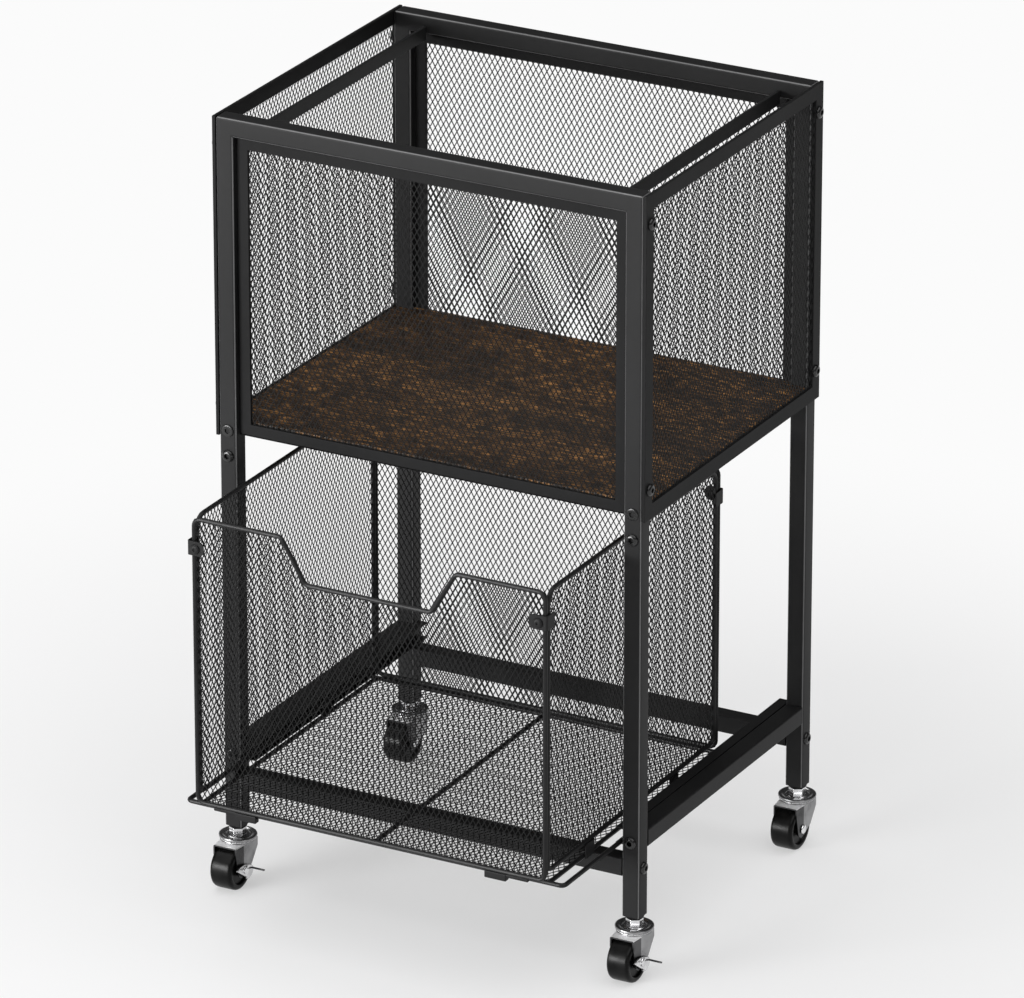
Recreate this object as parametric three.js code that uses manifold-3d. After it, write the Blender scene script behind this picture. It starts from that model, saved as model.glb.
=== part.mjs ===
// A mobile file cart: a mesh bin on four tube legs, a mesh drawer below it and four swivel casters.
// Millimetres, X to the right, Y to the back, Z up, origin on the floor under the middle of the frame.
import * as THREE from 'three';
import { mergeVertices } from 'three/addons/utils/BufferGeometryUtils.js';
import Module from 'manifold-3d';

const wasm = await Module();
wasm.setup();

// Frame of square tube
const frameWidth = 392;
const frameDepth = 312;
const frameTop = 685;
const tube = 16;
const tubeWall = 1.2;
const gap = 0.3;
const past = 1;

// Bin panels and shelf
const sidePanelBottom = 406;
const frontPanelRise = 1.6;
const frontRecess = 5.7;
const panelThickness = 3;
const infillThickness = 1;
const meshColumns = 8;
const meshRows = 3;
const meshStrand = 5;
const frontBorder = 10.5;
const sideBorder = 13;
const ledgeDepth = 12;
const ledgeThickness = 1.5;
const shelfThickness = 10;
const hangRailDrop = 9;
const hangRailHeight = 12;
const hangRailThickness = 3;
const hangRailInset = 30;

// Bolts, and the joint between post and leg
const boltShank = 6;
const boltHead = 10.8;
const boltHeadHeight = 2.8;
const flushHeadHeight = 0.8;
const boltReach = 9;
const sideBoltFromTop = 25;
const sideBoltFromBottom = 26;
const seamDrop = 6;
const seamBoltUp = 11.5;
const seamBoltDown = 10.7;
const connectorLength = 46;

// Lower rails and drawer guides
const sideRailTop = 129;
const crossRailDrop = 23.7;
const guideDepth = 10;
const guideWall = 1.2;
const guideEndInset = 8;
const guideRise = 1.3;
const weldLength = 240;

// Drawer of wire and mesh panels, pulled part of the way out
const wire = 4;
const drawerHeadroom = 23.8;
const drawerFrontDrop = 7;
const drawerSetback = 7.5;
const drawerPull = 101.5;
const drawerSideClearance = 5.6;
const lipClearance = 0.5;
const lipSetback = 6.5;
const drawerCorner = 7;
const sideCorner = 14;
const lipCorner = 6;
const notchTopWidth = 158;
const notchFloorWidth = 112;
const notchDepth = 38;
const clipThickness = 1.2;
const clipHeight = 12.5;
const clipDrop = 27;
const clipFrontLeaf = 17;
const clipSideLeaf = 13;
const hookWidth = 15;
const hookFromFront = 73.5;
const hookSpacing = 148;

// Casters
const wheelRadius = 19;
const wheelWidth = 19;
const hubRadius = 6;
const hubRecess = 1.5;
const rimRadius = 14;
const treadRound = 2;
const casterTrail = 12.5;
const axleRadius = 2.5;
const axleHeadRadius = 4;
const axleHeadHeight = 1.5;
const wheelClearance = 1;
const forkPlate = 1.8;
const forkTopPlate = 1.5;
const forkFront = 22.5;
const forkShoulder = 11;
const forkRear = 11.5;
const forkHeel = 14;
const forkFrontTaper = 1.8;
const forkBoss = 7.5;
const forkHipDrop = 8;
const raceRadius = 16.3;
const raceHeight = 2.6;
const racewayRadius = 15.5;
const racewayHeight = 2.1;
const stemRadius = 4;
const stemInsert = 12;
const stemRivetRadius = 5;
const stemRivetHeight = 0.9;
const nutAcrossFlats = 13;
const nutHeight = 6.2;
const collarHeight = 2;
const collarRadius = 8;
const plugLength = 14;

// Brake lever on the front casters
const leverThickness = 2;
const leverHub = 6;
const wingReach = 15;
const wingRise = 4.5;
const lobeReach = 10;
const lobeDrop = 4;
const lobeRadius = 6;
const tabReach = 11;
const tabThickness = 1.4;

// Heights and places that follow from the sizes above
const halfWidth = frameWidth / 2;
const halfDepth = frameDepth / 2;
const postX = halfWidth - tube / 2;
const postY = halfDepth - tube / 2;
const innerX = halfWidth - tube;
const innerY = halfDepth - tube;
const bore = tube - 2 * tubeWall;
const shankHole = boltShank / 2 + gap;
const halfInfill = infillThickness / 2;
const forkTop = 2 * wheelRadius + wheelClearance + forkTopPlate;
const raceTop = forkTop + racewayHeight + raceHeight;
const nutTop = raceTop + nutHeight;
const legFoot = nutTop + collarHeight + 2 * gap;
const legSeam = sidePanelBottom - seamDrop;
const frontPanelBottom = sidePanelBottom + frontPanelRise;
const sideRailBottom = sideRailTop - tube;
const crossRailTop = sideRailTop - crossRailDrop;

// Colours and finishes
const black = { color: 0x1c1c1d, roughness: 0.45, metalness: 0.5 };
const wood = { color: 0x4a2f1d, roughness: 0.6, metalness: 0 };
const chrome = { color: 0xc9c9cc, roughness: 0.2, metalness: 1 };
const steel = { color: 0x9a9a9d, roughness: 0.35, metalness: 1 };
const plastic = { color: 0x141414, roughness: 0.6, metalness: 0 };

// Shape helpers
const upAxis = new THREE.Vector3(0, 1, 0);

function block([x0, x1], [y0, y1], [z0, z1]) {
  const geometry = new THREE.BoxGeometry(x1 - x0, y1 - y0, z1 - z0);
  return geometry.translate((x0 + x1) / 2, (y0 + y1) / 2, (z0 + z1) / 2);
}

// A round bar of the given number of sides from one point to another.
function bar(from, to, radius, sides = 12) {
  const start = new THREE.Vector3(...from);
  const along = new THREE.Vector3(...to).sub(start);
  const geometry = new THREE.CylinderGeometry(radius, radius, along.length(), sides);
  geometry.applyQuaternion(new THREE.Quaternion().setFromUnitVectors(upAxis, along.clone().normalize()));
  const middle = start.addScaledVector(along, 0.5);
  return geometry.translate(middle.x, middle.y, middle.z);
}

function outline(points) {
  return new THREE.Shape(points.map(([a, b]) => new THREE.Vector2(a, b)));
}

// A rectangle with rounded corners; the radii go bottom left, bottom right, top right, top left.
function roundedRectangle(x0, x1, y0, y1, radii) {
  const [bottomLeft, bottomRight, topRight, topLeft] = radii;
  const shape = new THREE.Shape();
  shape.moveTo(x0 + bottomLeft, y0);
  shape.lineTo(x1 - bottomRight, y0);
  shape.absarc(x1 - bottomRight, y0 + bottomRight, bottomRight, -Math.PI / 2, 0);
  shape.lineTo(x1, y1 - topRight);
  shape.absarc(x1 - topRight, y1 - topRight, topRight, 0, Math.PI / 2);
  shape.lineTo(x0 + topLeft, y1);
  shape.absarc(x0 + topLeft, y1 - topLeft, topLeft, Math.PI / 2, Math.PI);
  shape.lineTo(x0, y0 + bottomLeft);
  shape.absarc(x0 + bottomLeft, y0 + bottomLeft, bottomLeft, Math.PI, Math.PI * 1.5);
  return shape;
}

const arcSteps = 4;

function slab(shape, thickness) {
  return new THREE.ExtrudeGeometry(shape, { depth: thickness, bevelEnabled: false, curveSegments: arcSteps });
}

// Staggered upright diamonds between two corners of a sheet, kept where all their corners are clear.
function diamonds([x0, x1], [y0, y1], isClear = () => true) {
  const cellX = (x1 - x0) / meshColumns;
  const cellY = (y1 - y0) / meshRows;
  const scale = 1 - meshStrand * Math.hypot(cellX, cellY) / (cellX * cellY);
  const halfX = cellX / 2 * scale;
  const halfY = cellY / 2 * scale;
  const shapes = [];
  for (let row = 1; row < 2 * meshRows; row += 1) {
    for (let column = 1; column < 2 * meshColumns; column += 1) {
      const x = x0 + column * cellX / 2;
      const y = y0 + row * cellY / 2;
      const corners = [[x - halfX, y], [x, y - halfY], [x + halfX, y], [x, y + halfY]];
      if ((row + column) % 2 === 0 && corners.every(isClear)) {
        shapes.push(outline(corners));
      }
    }
  }
  return shapes;
}

// Shapes drawn in X and Z, thick along Y from y0 to y1.
function facingFront(shape, y0, y1) {
  return slab(shape, y1 - y0).rotateX(Math.PI / 2).translate(0, y1, 0);
}

// Shapes drawn in Y and Z, thick along X from x0 to x1.
function facingSide(shape, x0, x1) {
  return slab(shape, x1 - x0).rotateX(Math.PI / 2).rotateZ(Math.PI / 2).translate(x0, 0, 0);
}

// Shapes drawn in X and Y, thick along Z from z0 to z1.
function facingUp(shape, z0, z1) {
  return slab(shape, z1 - z0).translate(0, 0, z0);
}

function solid(geometry) {
  const bare = geometry.clone();
  bare.deleteAttribute('normal');
  bare.deleteAttribute('uv');
  const merged = mergeVertices(bare, 1e-4);
  const vertProperties = new Float32Array(merged.attributes.position.array);
  const triVerts = new Uint32Array(merged.index.array);
  return new wasm.Manifold(new wasm.Mesh({ numProp: 3, vertProperties, triVerts }));
}

function geometryOf(manifold) {
  const { vertProperties, triVerts } = manifold.getMesh();
  const geometry = new THREE.BufferGeometry();
  geometry.setAttribute('position', new THREE.BufferAttribute(new Float32Array(vertProperties), 3));
  geometry.setIndex(new THREE.BufferAttribute(new Uint32Array(triVerts), 1));
  return geometry;
}

function join(...geometries) {
  return geometryOf(geometries.map(solid).reduce((whole, next) => whole.add(next)));
}

function cut(body, ...tools) {
  return geometryOf(tools.map(solid).reduce((whole, tool) => whole.subtract(tool), solid(body)));
}

function overlap(first, second) {
  return geometryOf(solid(first).intersect(solid(second)));
}

// A thin sheet about a plane, cut through by openings; face gives the way that it stands.
function openSheet(shape, openings, face, middle) {
  const sheet = face(shape, middle - halfInfill, middle + halfInfill);
  const tools = openings.map((opening) => face(opening, middle - infillThickness, middle + infillThickness));
  return cut(sheet, ...tools);
}

// A mirror image across the plane square to an axis, with the triangles turned to face out again.
function mirrored(geometry, axis) {
  const flip = new THREE.Vector3(1, 1, 1).setComponent('xyz'.indexOf(axis), -1);
  const copy = geometry.clone().applyMatrix4(new THREE.Matrix4().makeScale(flip.x, flip.y, flip.z));
  const index = copy.index;
  const turned = new Uint32Array(index.count);
  for (let i = 0; i < index.count; i += 3) {
    turned.set([index.getX(i), index.getX(i + 2), index.getX(i + 1)], i);
  }
  return copy.setIndex(new THREE.BufferAttribute(turned, 1));
}

const cart = new THREE.Group();

function add(parent, name, geometry, finish, position = [0, 0, 0]) {
  const mesh = new THREE.Mesh(geometry, new THREE.MeshStandardMaterial(finish));
  mesh.name = name;
  mesh.position.set(...position);
  parent.add(mesh);
  return mesh;
}

const sides = [['left', -1], ['right', 1]];
const ends = [['front', -1], ['rear', 1]];

// Inverted U hoops of tube, front and rear, with bolt holes for legs and side panels
const sideBoltHeights = [frameTop - sideBoltFromTop, sidePanelBottom + sideBoltFromBottom];
const upperSeamBolt = legSeam + seamBoltUp;
const lowerSeamBolt = legSeam - seamBoltDown;

function hoopOutline(inset, bottom) {
  const outer = halfWidth - inset;
  const inner = innerX + inset;
  return outline([
    [-outer, bottom], [-inner, bottom], [-inner, frameTop - tube + inset], [inner, frameTop - tube + inset],
    [inner, bottom], [outer, bottom], [outer, frameTop - inset], [-outer, frameTop - inset],
  ]);
}

function frontHoop() {
  const holes = [];
  for (const [, side] of sides) {
    const x = side * postX;
    holes.push(bar([x, -halfDepth - past, upperSeamBolt], [x, -postY, upperSeamBolt], shankHole));
    for (const z of sideBoltHeights) {
      holes.push(bar([x, -postY, z], [side * (halfWidth + past), -postY, z], shankHole));
    }
  }
  const tubes = facingFront(hoopOutline(0, legSeam), -halfDepth, -innerY);
  const core = facingFront(hoopOutline(tubeWall, legSeam - past), -halfDepth + tubeWall, -innerY - tubeWall);
  return cut(tubes, core, ...holes);
}

const hoop = frontHoop();
add(cart, 'front_frame', hoop, black);
add(cart, 'rear_frame', mirrored(hoop, 'y'), black);

// Legs, their connectors with bolts, and the plugs in their lower ends
const connectorHalf = bore / 2 - gap;

function frontLeg() {
  const half = tube / 2;
  const hollow = bore / 2;
  const shell = block([-half, half], [-half, half], [legFoot, legSeam - gap]);
  const inside = block([-hollow, hollow], [-hollow, hollow], [legFoot - past, legSeam + past]);
  const hole = bar([0, -half - past, lowerSeamBolt], [0, 0, lowerSeamBolt], shankHole);
  return cut(shell, inside, hole);
}

function frontConnector() {
  const half = tube / 2;
  const core = block(
    [-connectorHalf, connectorHalf],
    [-connectorHalf, connectorHalf],
    [legSeam - connectorLength / 2, legSeam + connectorLength / 2],
  );
  const parts = [core];
  for (const [z, height] of [[upperSeamBolt, flushHeadHeight], [lowerSeamBolt, boltHeadHeight]]) {
    parts.push(bar([0, 0, z], [0, -half - gap - height / 2, z], boltShank / 2));
    parts.push(bar([0, -half - gap, z], [0, -half - gap - height, z], boltHead / 2));
  }
  return join(...parts);
}

function legPlug() {
  const collarTop = legFoot - gap;
  const insert = block(
    [-connectorHalf, connectorHalf],
    [-connectorHalf, connectorHalf],
    [collarTop - gap, legFoot + plugLength],
  );
  const collar = bar([0, 0, collarTop - collarHeight], [0, 0, collarTop], collarRadius, 20);
  const stemHole = bar([0, 0, nutTop], [0, 0, legFoot + plugLength + past], stemRadius + gap);
  return cut(join(insert, collar), stemHole);
}

const leg = frontLeg();
const connector = frontConnector();
const plug = legPlug();
for (const [end, endSign] of ends) {
  for (const [side, sideSign] of sides) {
    const place = [sideSign * postX, endSign * postY, 0];
    const turned = (geometry) => (endSign < 0 ? geometry.clone() : mirrored(geometry, 'y'));
    add(cart, `${end}_${side}_leg`, turned(leg), black, place);
    add(cart, `${end}_${side}_leg_connector`, turned(connector), steel, place);
    add(cart, `${end}_${side}_leg_plug`, plug.clone(), plastic, place);
  }
}

// Bin panels: a border of flat steel round a mesh infill
const binPanelX = innerX - gap;
const binPanelTop = frameTop - tube - gap;
const binPanelBack = -halfDepth + frontRecess + panelThickness;

function frontBinPanel() {
  const front = -halfDepth + frontRecess;
  const middle = front + panelThickness / 2;
  const rectangle = (inset) => {
    const x = binPanelX - inset;
    const bottom = frontPanelBottom + inset;
    const top = binPanelTop - inset;
    return outline([[-x, bottom], [x, bottom], [x, top], [-x, top]]);
  };
  const border = cut(
    facingFront(rectangle(0), front, binPanelBack),
    facingFront(rectangle(frontBorder), front - past, binPanelBack + past),
  );
  const across = [-binPanelX + frontBorder, binPanelX - frontBorder];
  const up = [frontPanelBottom + frontBorder, binPanelTop - frontBorder];
  const infill = openSheet(rectangle(frontBorder / 2), diamonds(across, up), facingFront, middle);
  const ledge = block(
    [-binPanelX, binPanelX],
    [front, binPanelBack + ledgeDepth],
    [frontPanelBottom, frontPanelBottom + ledgeThickness],
  );
  return join(border, infill, ledge);
}

function sideBinPanel() {
  const inner = halfWidth + gap;
  const outer = inner + panelThickness;
  const middle = (inner + outer) / 2;
  const rectangle = (inset) => outline([
    [-halfDepth + inset, sidePanelBottom + inset], [halfDepth - inset, sidePanelBottom + inset],
    [halfDepth - inset, frameTop - inset], [-halfDepth + inset, frameTop - inset],
  ]);
  const border = cut(
    facingSide(rectangle(0), inner, outer),
    facingSide(rectangle(sideBorder), inner - past, outer + past),
  );
  const along = [-halfDepth + sideBorder, halfDepth - sideBorder];
  const up = [sidePanelBottom + sideBorder, frameTop - sideBorder];
  const infill = openSheet(rectangle(sideBorder / 2), diamonds(along, up), facingSide, middle);
  const holes = [];
  for (const [, endSign] of ends) {
    for (const z of sideBoltHeights) {
      holes.push(bar([inner - past, endSign * postY, z], [outer + past, endSign * postY, z], shankHole));
    }
  }
  return cut(join(border, infill), ...holes);
}

const binFront = frontBinPanel();
add(cart, 'front_mesh_panel', binFront, black);
add(cart, 'rear_mesh_panel', mirrored(binFront, 'y'), black);
const binSide = sideBinPanel();
add(cart, 'right_side_panel', binSide, black);
add(cart, 'left_side_panel', mirrored(binSide, 'x'), black);

// Bolts that hold the side panels to the posts
function sideBolt() {
  const face = halfWidth + 2 * gap + panelThickness;
  const shank = bar([face - boltReach, 0, 0], [face + boltHeadHeight / 2, 0, 0], boltShank / 2);
  return join(shank, bar([face, 0, 0], [face + boltHeadHeight, 0, 0], boltHead / 2));
}

const bolt = sideBolt();
for (const [end, endSign] of ends) {
  for (const [side, sideSign] of sides) {
    sideBoltHeights.forEach((z, level) => {
      const name = `${side}_${end}_${level ? 'lower' : 'upper'}_bolt`;
      const turned = sideSign > 0 ? bolt.clone() : mirrored(bolt, 'x');
      add(cart, name, turned, steel, [0, endSign * postY, z]);
    });
  }
}

// Wooden shelf, notched round the posts, resting on the ledges of the bin panels
function shelf() {
  const x = halfWidth - gap;
  const y = -binPanelBack - gap;
  const notchX = innerX - gap;
  const notchY = innerY - gap;
  const board = outline([
    [-notchX, -y], [notchX, -y], [notchX, -notchY], [x, -notchY], [x, notchY], [notchX, notchY],
    [notchX, y], [-notchX, y], [-notchX, notchY], [-x, notchY], [-x, -notchY], [-notchX, -notchY],
  ]);
  const bottom = frontPanelBottom + ledgeThickness + gap;
  return facingUp(board, bottom, bottom + shelfThickness);
}

add(cart, 'shelf_board', shelf(), wood);

// Rails that folders hang from, between the two hoops
for (const [side, sideSign] of sides) {
  const x = sideSign * (halfWidth - hangRailInset);
  const top = frameTop - hangRailDrop;
  const rail = block(
    [-hangRailThickness / 2, hangRailThickness / 2],
    [-innerY + gap, innerY - gap],
    [top - hangRailHeight, top],
  );
  add(cart, `${side}_hang_rail`, rail, black, [x, 0, 0]);
}

// Lower rails: side rails carry the drawer guides, cross rails tie the legs
const guideOuter = innerX - gap;
const guideInner = innerX - guideDepth;
const guideBottom = sideRailBottom + guideRise;

function rightSideRail() {
  const length = innerY - gap;
  const shell = block([innerX, halfWidth], [-length, length], [sideRailBottom, sideRailTop]);
  const hollow = block(
    [innerX + tubeWall, halfWidth - tubeWall],
    [-length - past, length + past],
    [sideRailBottom + tubeWall, sideRailTop - tubeWall],
  );
  const guideEnd = halfDepth - guideEndInset;
  const channel = cut(
    block([guideInner, guideOuter], [-guideEnd, guideEnd], [guideBottom, sideRailTop]),
    block(
      [guideInner - past, guideOuter - guideWall],
      [-guideEnd - past, guideEnd + past],
      [guideBottom + guideWall, sideRailTop - guideWall],
    ),
  );
  const weld = block(
    [guideOuter - guideWall / 2, innerX + tubeWall / 2],
    [-weldLength / 2, weldLength / 2],
    [sideRailBottom + tube / 4, sideRailTop - tube / 4],
  );
  return join(cut(shell, hollow), channel, weld);
}

const sideRail = rightSideRail();
add(cart, 'right_side_rail', sideRail, black);
add(cart, 'left_side_rail', mirrored(sideRail, 'x'), black);

function crossRail() {
  const length = innerX - gap;
  const half = tube / 2;
  const hollow = bore / 2;
  const bottom = crossRailTop - tube;
  const shell = block([-length, length], [-half, half], [bottom, crossRailTop]);
  const inside = block(
    [-length - past, length + past],
    [-hollow, hollow],
    [bottom + tubeWall, crossRailTop - tubeWall],
  );
  return cut(shell, inside);
}

for (const [end, endSign] of ends) {
  add(cart, `${end}_cross_rail`, crossRail(), black, [0, endSign * postY, 0]);
}

// Drawer, in a group placed at the middle of its front face, just above the floor of the guides
const drawer = new THREE.Group();
const drawerBase = guideBottom + guideWall + gap;
drawer.position.set(0, -halfDepth - drawerPull, drawerBase);
cart.add(drawer);
const drawerDepth = frameDepth - drawerSetback;
const panelBase = wire + gap;
const sideTop = frontPanelBottom - drawerHeadroom - drawerBase;
const frontTop = sideTop - drawerFrontDrop;
const sideBase = panelBase + drawerFrontDrop;
const sideOuter = guideInner - drawerSideClearance;
const sideNear = wire + gap;
const sideFar = drawerDepth - wire - gap;
const lipOuter = guideOuter - guideWall - lipClearance;

function notchedOutline(inset) {
  const x = sideOuter - inset;
  const bottom = panelBase + inset;
  const top = frontTop - inset;
  const radius = drawerCorner - inset;
  const floor = top - notchDepth;
  const shape = new THREE.Shape();
  shape.moveTo(-x + radius, bottom);
  shape.lineTo(x - radius, bottom);
  shape.absarc(x - radius, bottom + radius, radius, -Math.PI / 2, 0);
  shape.lineTo(x, top - radius);
  shape.absarc(x - radius, top - radius, radius, 0, Math.PI / 2);
  shape.lineTo(notchTopWidth / 2 + inset, top);
  shape.lineTo(notchFloorWidth / 2 + inset, floor);
  shape.lineTo(-notchFloorWidth / 2 - inset, floor);
  shape.lineTo(-notchTopWidth / 2 - inset, top);
  shape.lineTo(-x + radius, top);
  shape.absarc(-x + radius, top - radius, radius, Math.PI / 2, Math.PI);
  shape.lineTo(-x, bottom + radius);
  shape.absarc(-x + radius, bottom + radius, radius, Math.PI, Math.PI * 1.5);
  return shape;
}

function plainOutline(inset) {
  const corner = drawerCorner - inset;
  const x = sideOuter - inset;
  const top = frontTop - inset;
  return roundedRectangle(-x, x, panelBase + inset, top, [corner, corner, corner, corner]);
}

function sideOutline(inset) {
  const corner = drawerCorner - inset;
  const topCorner = sideCorner - inset;
  const radii = [corner, corner, topCorner, topCorner];
  return roundedRectangle(sideNear + inset, sideFar - inset, sideBase + inset, sideTop - inset, radii);
}

// A wire border round an infill; the border's thickness is the wire's.
function meshPanel(shapeAt, face, start, span, [bottom, top], isClear) {
  const middle = start + wire / 2;
  const end = start + wire;
  const border = cut(face(shapeAt(0), start, end), face(shapeAt(wire), start - past, end + past));
  const openings = diamonds(span, [bottom + wire, top - wire], isClear);
  return join(border, openSheet(shapeAt(wire / 2), openings, face, middle));
}

const endSpan = [-sideOuter + wire, sideOuter - wire];
const sideSpan = [sideNear + wire, sideFar - wire];

function belowNotch([x, y]) {
  return Math.abs(x) > notchTopWidth / 2 + 2 * wire || y < frontTop - notchDepth - 2 * wire;
}

// A side panel stands between the front and the back, and hooks on it reach down beside the floor.
function rightDrawerSide() {
  const panel = meshPanel(sideOutline, facingSide, sideOuter - wire, sideSpan, [sideBase, sideTop]);
  const hooks = [hookFromFront, hookFromFront + hookSpacing].flatMap((y) => {
    const run = [y - hookWidth / 2, y + hookWidth / 2];
    const outer = sideOuter + gap + clipThickness;
    return [
      block([sideOuter + gap, outer], run, [gap, sideBase + wire / 2]),
      block([sideOuter - wire / 2, outer], run, [sideBase + wire / 4, sideBase + wire / 2]),
    ];
  });
  return join(panel, ...hooks);
}

function drawerFloor() {
  const rimOutline = (inset) => {
    const x = lipOuter - inset;
    const corner = lipCorner - inset;
    const radii = [corner, corner, corner, corner];
    return roundedRectangle(-x, x, lipSetback + inset, drawerDepth - inset, radii);
  };
  const rim = cut(facingUp(rimOutline(0), 0, wire), facingUp(rimOutline(wire), -past, wire + past));
  const runs = [-sideOuter + wire / 2, 0, sideOuter - wire / 2].map((x) => block(
    [x - wire / 2, x + wire / 2],
    [wire / 2, drawerDepth - wire / 2],
    [gap, wire - gap],
  ));
  const half = sideOuter - wire / 2;
  const [near, far] = [wire / 2, drawerDepth - wire / 2];
  const sheet = outline([[-half, near], [half, near], [half, far], [-half, far]]);
  const openings = diamonds([-half + wire, half - wire], [lipSetback + 2 * wire, far - wire]);
  return join(rim, openSheet(sheet, openings, facingUp, wire / 2), ...runs);
}

const endRise = [panelBase, frontTop];
const drawerFront = meshPanel(notchedOutline, facingFront, 0, endSpan, endRise, belowNotch);
const drawerBack = meshPanel(plainOutline, facingFront, drawerDepth - wire, endSpan, endRise);
const drawerSide = rightDrawerSide();
add(drawer, 'drawer_front', drawerFront, black);
add(drawer, 'drawer_back', drawerBack, black);
add(drawer, 'drawer_right_side', drawerSide, black);
add(drawer, 'drawer_left_side', mirrored(drawerSide, 'x'), black);
add(drawer, 'drawer_floor', drawerFloor(), black);

// Straps that hold the drawer's corners together
function frontRightClip() {
  const outer = sideOuter + gap + clipThickness;
  const front = -gap - clipThickness;
  const middle = frontTop - clipDrop;
  const leaf = [middle - clipHeight / 2, middle + clipHeight / 2];
  const frontLeaf = block([outer - clipFrontLeaf, outer], [front, front + clipThickness], leaf);
  const sideLeaf = block([outer - clipThickness, outer], [front, front + clipSideLeaf], leaf);
  return join(frontLeaf, sideLeaf);
}

const rightClip = frontRightClip();
const leftClip = mirrored(rightClip, 'x');
add(drawer, 'front_right_corner_clip', rightClip, black);
add(drawer, 'front_left_corner_clip', leftClip, black);
add(drawer, 'rear_right_corner_clip', mirrored(rightClip, 'y'), black, [0, drawerDepth, 0]);
add(drawer, 'rear_left_corner_clip', mirrored(leftClip, 'y'), black, [0, drawerDepth, 0]);

// Swivel casters: stem with nut and race, fork, wheel and axle, in a group on the stem's axis
const forkInner = wheelWidth / 2 + wheelClearance;
const forkOuter = forkInner + forkPlate;

function casterStem() {
  const nutRadius = nutAcrossFlats / Math.sqrt(3);
  const rivetTop = forkTop - forkTopPlate - gap;
  return join(
    bar([0, 0, rivetTop - stemRivetHeight], [0, 0, legFoot + stemInsert], stemRadius),
    bar([0, 0, rivetTop - stemRivetHeight], [0, 0, rivetTop], stemRivetRadius),
    bar([0, 0, raceTop - raceHeight], [0, 0, raceTop], raceRadius, 24),
    bar([0, 0, raceTop - raceHeight / 2], [0, 0, nutTop], nutRadius, 6),
  );
}

function casterFork() {
  const plan = outline([
    [-forkOuter, forkRear], [-forkOuter, -forkShoulder], [-forkOuter + forkFrontTaper, -forkFront],
    [forkOuter - forkFrontTaper, -forkFront], [forkOuter, -forkShoulder], [forkOuter, forkRear],
  ]);
  const hip = forkTop - forkHipDrop;
  const profile = new THREE.Shape();
  profile.moveTo(forkRear, forkTop);
  profile.lineTo(-forkFront, forkTop);
  profile.lineTo(-forkFront, hip);
  profile.lineTo(-casterTrail - forkBoss, wheelRadius);
  profile.absarc(-casterTrail, wheelRadius, forkBoss, Math.PI, 2 * Math.PI);
  profile.lineTo(-casterTrail + forkHeel, wheelRadius);
  profile.lineTo(forkRear, hip);
  const outside = overlap(facingUp(plan, 0, forkTop + past), facingSide(profile, -forkOuter, forkOuter));
  const roof = forkTop - forkTopPlate;
  const tunnel = block([-forkInner, forkInner], [-forkFront - past, forkRear + past], [-past, roof]);
  const raceway = bar([0, 0, roof], [0, 0, forkTop + racewayHeight - gap], racewayRadius, 20);
  const stemHole = bar([0, 0, roof - past], [0, 0, raceTop], stemRadius + gap);
  const axleHole = bar(
    [-forkOuter - past, -casterTrail, wheelRadius],
    [forkOuter + past, -casterTrail, wheelRadius],
    axleRadius + gap,
  );
  return cut(join(cut(outside, tunnel), raceway), stemHole, axleHole);
}

function casterWheel() {
  const half = wheelWidth / 2;
  const boreRadius = axleRadius + gap;
  const profile = [
    [boreRadius, -half], [hubRadius, -half], [hubRadius, -half + hubRecess], [rimRadius, -half + hubRecess],
    [rimRadius, -half], [wheelRadius - treadRound, -half], [wheelRadius, -half + treadRound],
    [wheelRadius, half - treadRound], [wheelRadius - treadRound, half], [rimRadius, half],
    [rimRadius, half - hubRecess], [hubRadius, half - hubRecess], [hubRadius, half], [boreRadius, half],
    [boreRadius, -half],
  ];
  const points = profile.map(([radius, along]) => new THREE.Vector2(radius, along));
  return new THREE.LatheGeometry(points, 24).rotateZ(-Math.PI / 2).translate(0, -casterTrail, wheelRadius);
}

function casterAxle(rightEnd) {
  const pin = (from, to, radius) => bar(
    [from, -casterTrail, wheelRadius],
    [to, -casterTrail, wheelRadius],
    radius,
  );
  const left = -forkOuter - gap;
  return join(
    pin(left - axleHeadHeight / 2, rightEnd + axleHeadHeight / 2, axleRadius),
    pin(left - axleHeadHeight, left, axleHeadRadius),
    pin(rightEnd, rightEnd + axleHeadHeight, axleHeadRadius),
  );
}

// The lever turns on the axle: a wing to the front, a round lobe behind and a thin tab to press
function brakeLever() {
  const inner = forkOuter + gap;
  const outer = inner + leverThickness;
  const y = -casterTrail;
  const z = wheelRadius;
  const plate = outline([
    [y - wingReach, z + wingRise], [y - leverHub, z - leverHub / 2], [y, z - leverHub],
    [y + lobeReach - lobeRadius, z - lobeDrop - lobeRadius], [y + lobeReach, z - lobeDrop - lobeRadius],
    [y + lobeReach + lobeRadius / 2, z - lobeDrop], [y + lobeReach, z + tabThickness],
    [y, z + leverHub], [y - leverHub, z + leverHub + wingRise / 2],
  ]);
  const tab = block(
    [inner + leverThickness / 2, outer + tabReach],
    [y + axleHeadRadius + past, y + lobeReach],
    [z - tabThickness / 2, z + tabThickness / 2],
  );
  const hole = bar([inner - past, y, z], [outer + past, y, z], axleRadius + gap);
  return cut(join(facingSide(plate, inner, outer), tab), hole);
}

const stem = casterStem();
const fork = casterFork();
for (const [end, endSign] of ends) {
  for (const [side, sideSign] of sides) {
    const caster = new THREE.Group();
    caster.position.set(sideSign * postX, endSign * postY, 0);
    cart.add(caster);
    const braked = endSign < 0;
    const axleEnd = forkOuter + gap + (braked ? leverThickness + gap : 0);
    const label = `${end}_${side}_caster`;
    add(caster, `${label}_stem`, stem.clone(), chrome);
    add(caster, `${label}_fork`, fork.clone(), chrome);
    add(caster, `${label}_wheel`, casterWheel(), plastic);
    add(caster, `${label}_axle`, casterAxle(axleEnd), steel);
    if (braked) {
      add(caster, `${label}_brake_lever`, brakeLever(), chrome);
    }
  }
}

export default cart;
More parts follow.
